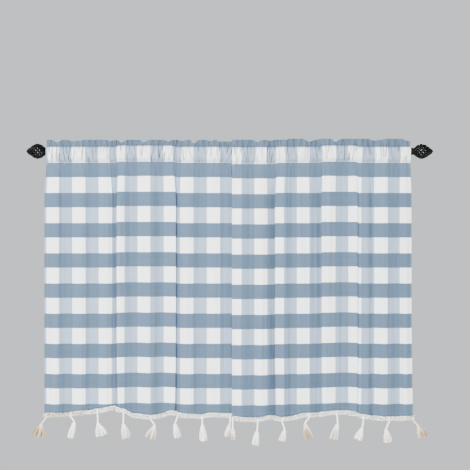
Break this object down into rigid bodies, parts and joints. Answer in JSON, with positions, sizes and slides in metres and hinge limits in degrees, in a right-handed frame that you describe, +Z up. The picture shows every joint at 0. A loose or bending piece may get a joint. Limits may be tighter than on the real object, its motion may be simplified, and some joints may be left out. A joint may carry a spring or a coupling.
{
  "type": "cafe curtain pair on a rod",
  "caption": "Pair of short checked cotton curtains with a frill, rod pocket and tasselled braid hem, gathered edge to edge on a black rod with twisted cage finials.",
  "frame": {"origin": "middle of the rod, on its axis", "axes": "+X along the rod to the right as seen from the room, +Y towards the window or wall, +Z up"},
  "size_m": [1.3446, 0.0524, 1.0131],
  "materials": {
    "rod_paint": "satin black",
    "finial_paint": "satin black",
    "checked_cotton": "dusty blue and white plain weave with a 50 mm check",
    "braid_yarn": "plaited cream cotton",
    "tassel_yarn": "cream cotton yarn",
    "tan_tassel_yarn": "tan cotton yarn"
  },
  "bodies": {
    "root": {"rod": "rod_paint", "finial_left": "finial_paint", "finial_right": "finial_paint", "panel_left": "checked_cotton", "panel_right": "checked_cotton", "braid_left": "braid_yarn", "braid_right": "braid_yarn", "tassel_01": "tan_tassel_yarn", "tassel_02": "tassel_yarn", "tassel_03": "tassel_yarn", "tassel_04": "tassel_yarn", "tassel_05": "tassel_yarn", "tassel_06": "tassel_yarn", "tassel_07": "tassel_yarn", "tassel_08": "tassel_yarn", "tassel_09": "tassel_yarn", "tassel_10": "tassel_yarn", "tassel_11": "tassel_yarn", "tassel_12": "tassel_yarn", "tassel_13": "tassel_yarn", "tassel_14": "tassel_yarn", "tassel_15": "tassel_yarn", "tassel_16": "tan_tassel_yarn"}
  },
  "joints": []
}
